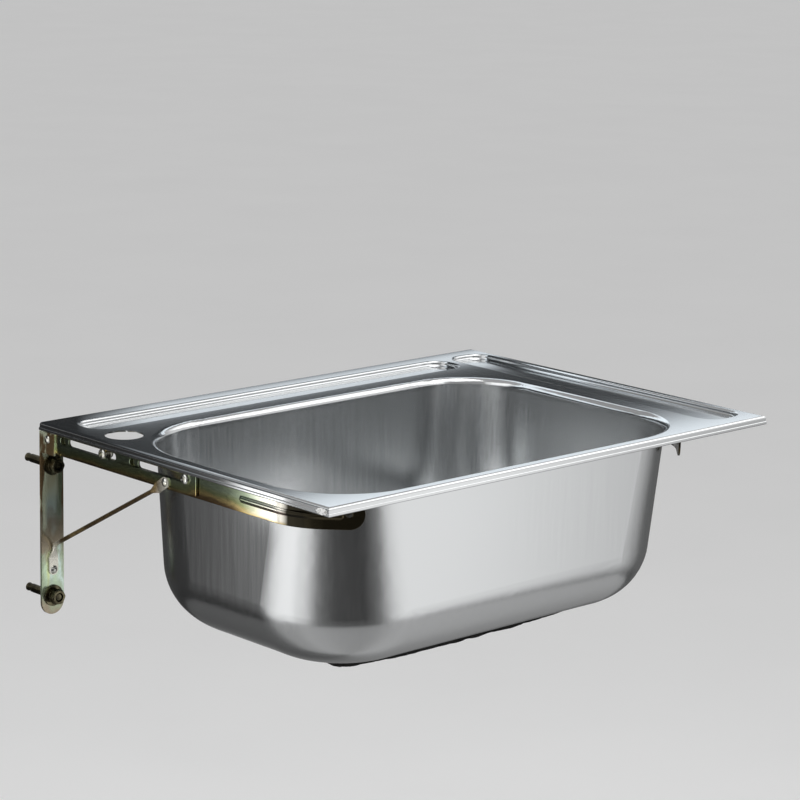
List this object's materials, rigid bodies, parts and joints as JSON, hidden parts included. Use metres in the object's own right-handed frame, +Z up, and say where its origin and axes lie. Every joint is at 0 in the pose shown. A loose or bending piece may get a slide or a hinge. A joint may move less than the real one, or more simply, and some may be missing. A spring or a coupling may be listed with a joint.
{
  "type": "utility sink",
  "caption": "Pressed stainless steel utility sink with a deep rounded bowl, tap hole and pressed deck, resting on telescopic wall brackets with tie rods.",
  "frame": {"origin": "centre of the four wall anchors, on the wall's face", "axes": "+Z up, +X to the right along the wall, +Y into the wall; the sink stands out towards -Y"},
  "size_m": [0.5512, 0.436, 0.202],
  "materials": {
    "stainless_sheet": "satin, fine brushed",
    "stainless_fitting": "polished pressed steel",
    "yellow_zinc_plate": "yellow passivated zinc on steel, iridescent",
    "yellow_zinc_rod": "yellow passivated zinc on steel wire",
    "zinc_fastener": "zinc plated steel",
    "anchor_steel": "dark zinc plated steel",
    "deadening_pad": "matt black bitumen pad",
    "seal_rubber": "matt black",
    "fitting_plastic": "moulded white"
  },
  "bodies": {
    "brackets": {"left_wall_plate": "yellow_zinc_plate", "right_wall_plate": "yellow_zinc_plate", "left_rear_arm": "yellow_zinc_plate", "right_rear_arm": "yellow_zinc_plate", "left_tie_rod": "yellow_zinc_rod", "right_tie_rod": "yellow_zinc_rod", "ear_rivets": "zinc_fastener", "tie_rod_rivets": "zinc_fastener", "adjuster_screws": "zinc_fastener", "adjuster_washers": "zinc_fastener", "adjuster_nuts": "zinc_fastener", "anchor_bolts": "anchor_steel", "anchor_clips": "anchor_steel", "anchor_washers": "anchor_steel", "anchor_spring_washers": "anchor_steel", "anchor_nuts": "anchor_steel"},
    "basin": {"basin": "stainless_sheet", "sound_deadening_pad": "deadening_pad", "waste_body": "stainless_fitting", "waste_gasket": "seal_rubber", "waste_washer": "seal_rubber", "waste_locknut": "fitting_plastic"},
    "strainer": {"strainer_basket": "stainless_fitting", "basket_knob": "stainless_fitting", "basket_stopper": "seal_rubber"},
    "left_front_arm": {"left_front_arm": "yellow_zinc_plate"},
    "right_front_arm": {"right_front_arm": "yellow_zinc_plate"}
  },
  "joints": [
    {"name": "basin_lift", "type": "slide", "parent": "brackets", "child": "basin", "axis": [0, 0, 1], "range_m": [0, 0.2]},
    {"name": "strainer_lift", "type": "slide", "parent": "basin", "child": "strainer", "axis": [0, 0, 1], "range_m": [0, 0.12]},
    {"name": "left_arm_adjust", "type": "slide", "parent": "brackets", "child": "left_front_arm", "axis": [0, -1, 0], "range_m": [0, 0.006]},
    {"name": "right_arm_adjust", "type": "slide", "parent": "brackets", "child": "right_front_arm", "axis": [0, -1, 0], "range_m": [0, 0.013]}
  ]
}
